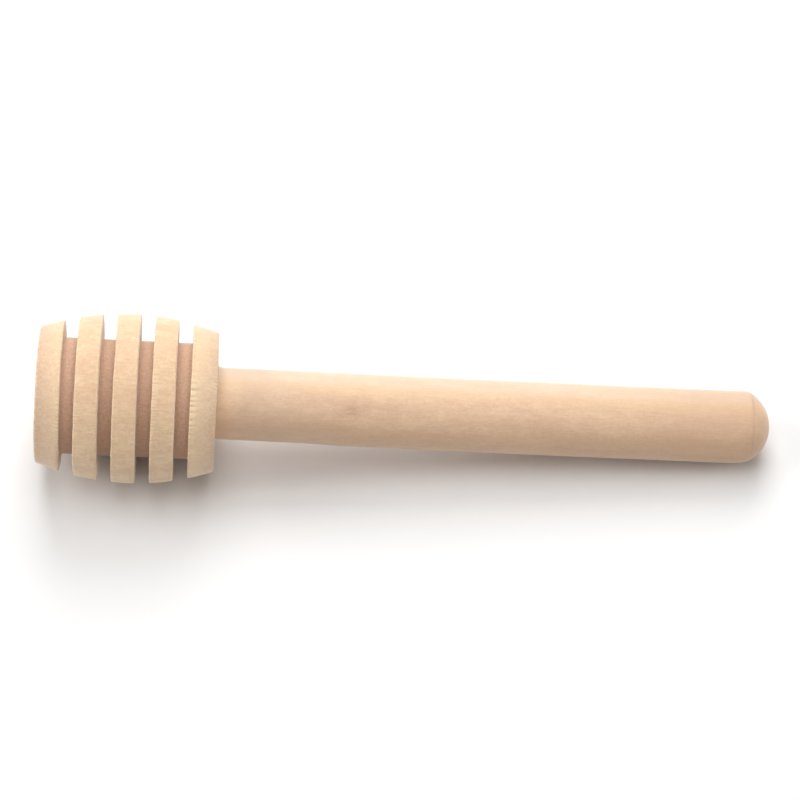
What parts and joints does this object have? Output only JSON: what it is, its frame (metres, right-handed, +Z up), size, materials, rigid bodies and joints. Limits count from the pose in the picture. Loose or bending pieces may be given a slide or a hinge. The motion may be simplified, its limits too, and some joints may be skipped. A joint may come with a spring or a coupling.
{
  "type": "honey dipper",
  "caption": "Small turned wooden honey dipper: a barrel-shaped head of stacked ribs with honey grooves between them, on a plain round handle with a domed end.",
  "frame": {"origin": "centre of the base of the box around the dipper as it lies; Z = 0 is the surface it lies on", "axes": "+X along the dipper from the head to the handle's domed end, +Z up; the dipper's own axis slopes down 4.5 degrees towards +X, because the head is thicker than the handle"},
  "size_m": [0.0804, 0.0184, 0.0185],
  "materials": {
    "head_wood": "satin, turned and lightly sanded, unvarnished",
    "handle_wood": "satin, sanded dowel, unvarnished"
  },
  "bodies": {
    "root": {"head": "head_wood", "handle": "handle_wood"}
  },
  "joints": []
}
